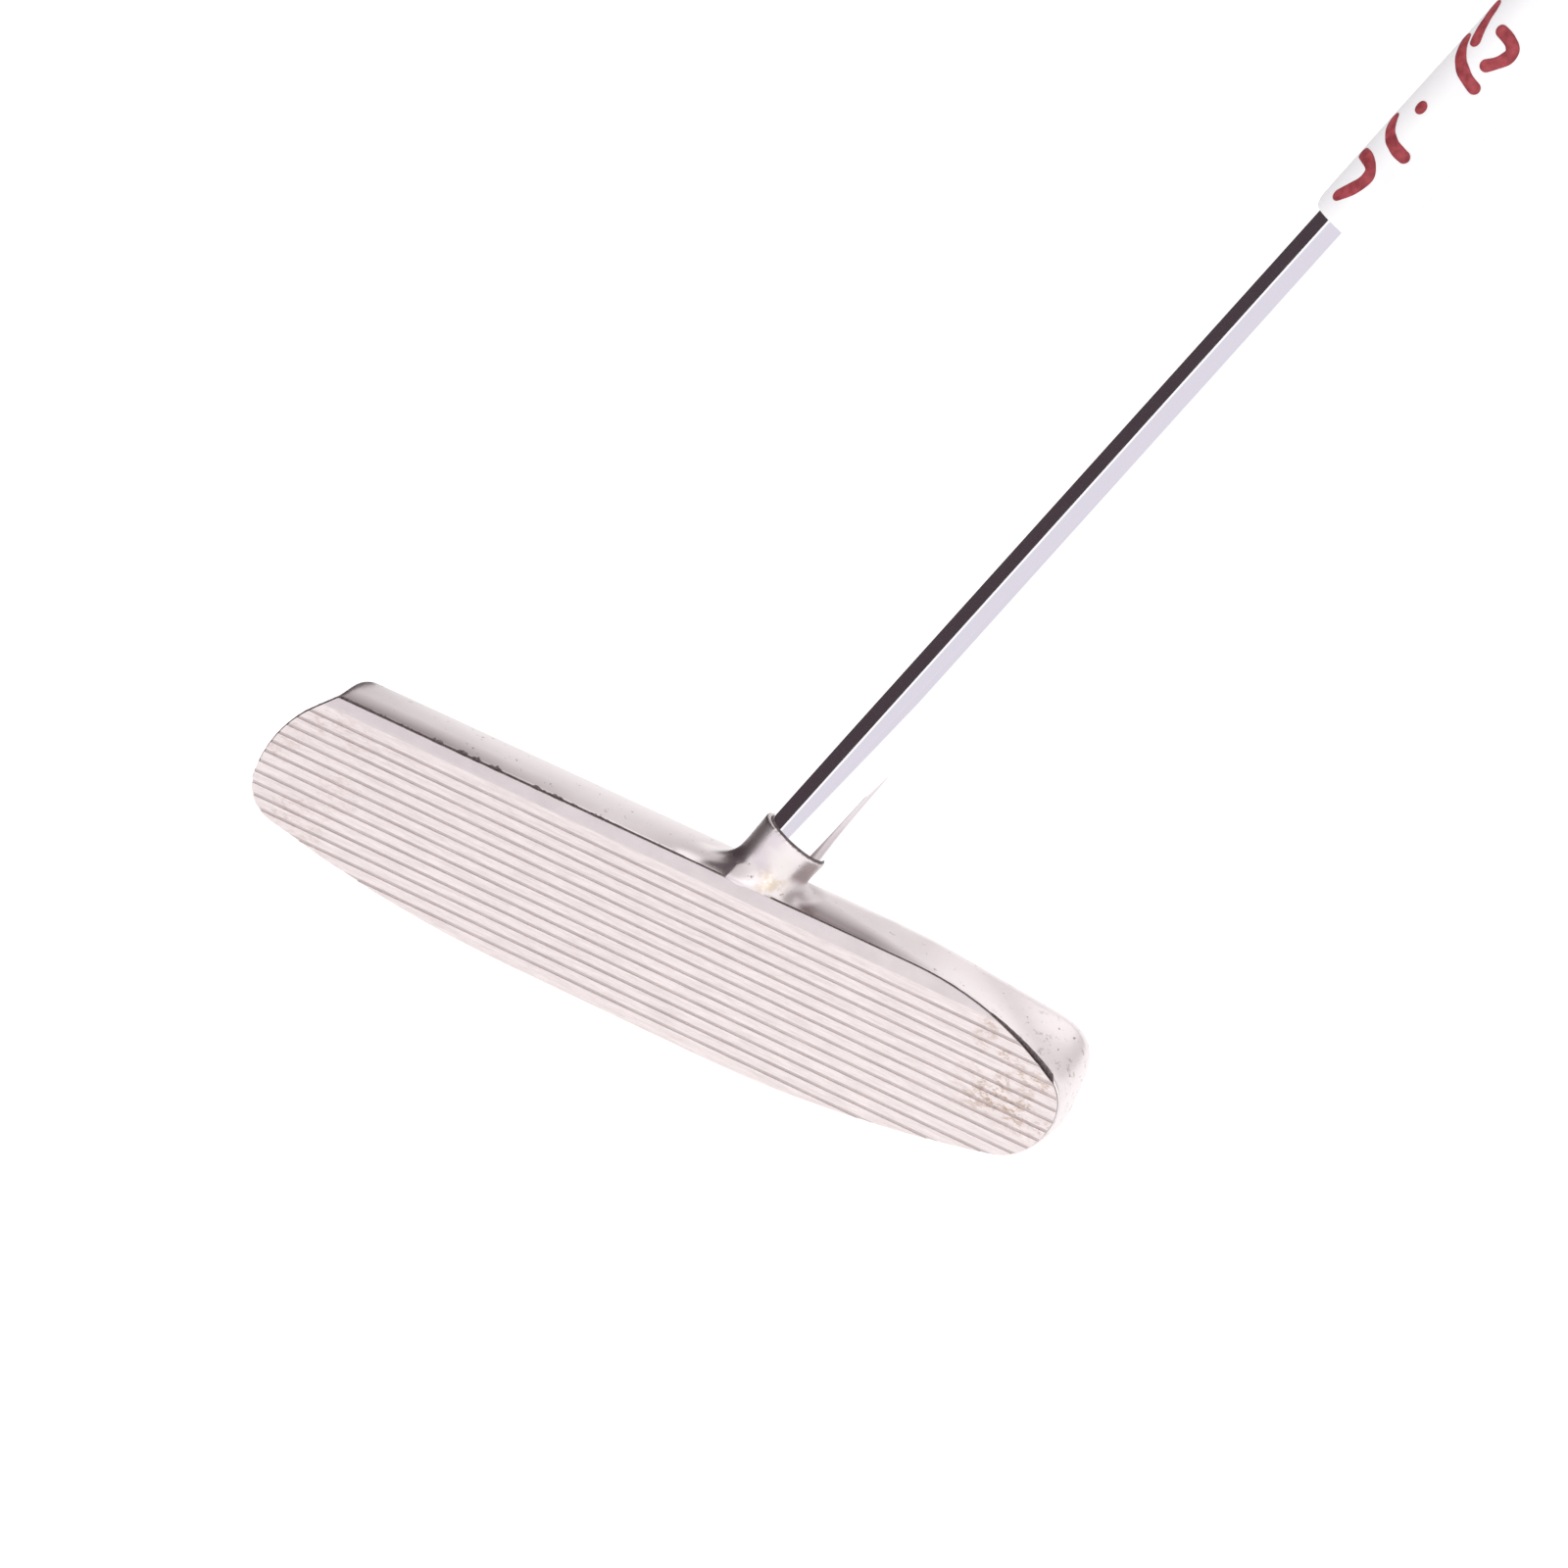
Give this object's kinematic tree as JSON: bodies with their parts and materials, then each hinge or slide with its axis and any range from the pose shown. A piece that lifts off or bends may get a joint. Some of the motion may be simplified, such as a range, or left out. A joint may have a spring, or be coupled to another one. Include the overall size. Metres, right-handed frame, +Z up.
{
  "type": "blade putter",
  "caption": "Right-handed blade putter: grooved flat face plate on a cast body with a stub hosel, stepped steel shaft, paper sleeve and pistol grip.",
  "frame": {"origin": "middle of the flat of the sole, on the ground", "axes": "+X from toe to heel, +Y from the face to the back, +Z up; the shaft leans towards the heel"},
  "size_m": [0.3596, 0.0256, 0.8465],
  "materials": {
    "cast_head": "satin bead-blasted",
    "face_metal": "fine milled",
    "adhesive": "cured dark glue",
    "chromed_tube": "polished",
    "cork": "raw cork",
    "label_paper": "white paper with red pen marks",
    "tape": "masking tape",
    "grip_rubber": "moulded, textured",
    "cap_plastic": "moulded"
  },
  "bodies": {
    "root": {"head_body": "cast_head", "face_plate": "face_metal", "face_bond": "adhesive", "hosel_epoxy": "adhesive", "shaft": "chromed_tube", "shaft_tip_plug": "cork", "price_label": "label_paper", "grip_tape": "tape", "grip_sleeve": "grip_rubber", "grip_cap": "cap_plastic"}
  },
  "joints": []
}
